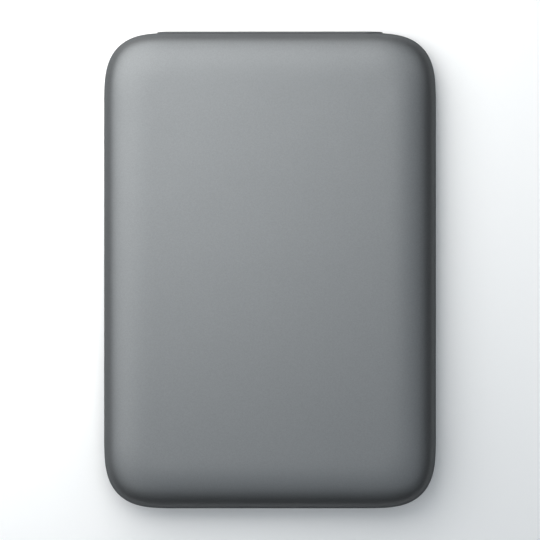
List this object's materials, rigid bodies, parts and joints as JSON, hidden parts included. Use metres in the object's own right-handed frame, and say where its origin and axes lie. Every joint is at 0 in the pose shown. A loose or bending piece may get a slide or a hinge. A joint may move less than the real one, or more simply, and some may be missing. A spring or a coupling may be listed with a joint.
{
  "type": "portable solid state drive",
  "caption": "Flat pebble-shaped portable solid state drive with rolled edges and a rounded port panel at one end; a screwed board and a plug-in flash module are inside.",
  "frame": {"origin": "centre of the base, on the surface the drive lies on", "axes": "+Z out of the front face, +Y towards the port end, +X across the width"},
  "size_m": [0.0542, 0.078, 0.0106],
  "materials": {
    "case_paint": "satin metallic grey paint on moulded plastic",
    "panel_plastic": "fine moulded grey plastic",
    "clear_plastic": "clear moulded plastic",
    "lamp_plastic": "pale lamp body",
    "plated_steel": "nickel-plated steel",
    "screw_steel": "zinc-plated steel",
    "gold_contact": "gold-plated contact",
    "standoff_brass": "turned brass",
    "black_moulding": "black high-temperature moulding",
    "board_laminate": "glass laminate with green lacquer",
    "chip_resin": "black moulded resin",
    "coil_ferrite": "pressed ferrite",
    "capacitor_ceramic": "fired ceramic with tinned ends",
    "pad_silicone": "soft filled silicone",
    "spreader_aluminium": "rolled aluminium sheet"
  },
  "bodies": {
    "root": {"top_cover": "case_paint", "bottom_cover": "case_paint", "port_panel": "panel_plastic", "light_pipe": "clear_plastic", "receptacle_shell": "plated_steel", "receptacle_insulator": "black_moulding", "receptacle_contacts": "gold_contact", "main_board": "board_laminate", "bridge_chip": "chip_resin", "firmware_chip": "chip_resin", "clock_crystal": "plated_steel", "power_inductors": "coil_ferrite", "power_regulator": "chip_resin", "board_capacitors": "capacitor_ceramic", "activity_light": "lamp_plastic", "module_socket": "black_moulding", "socket_contacts": "gold_contact", "module_board": "board_laminate", "flash_controller": "chip_resin", "flash_package_1": "chip_resin", "flash_package_2": "chip_resin", "module_capacitors": "capacitor_ceramic", "module_standoff": "standoff_brass", "module_screw": "screw_steel", "board_screws": "screw_steel", "thermal_pad": "pad_silicone", "heat_spreader": "spreader_aluminium"}
  },
  "joints": []
}
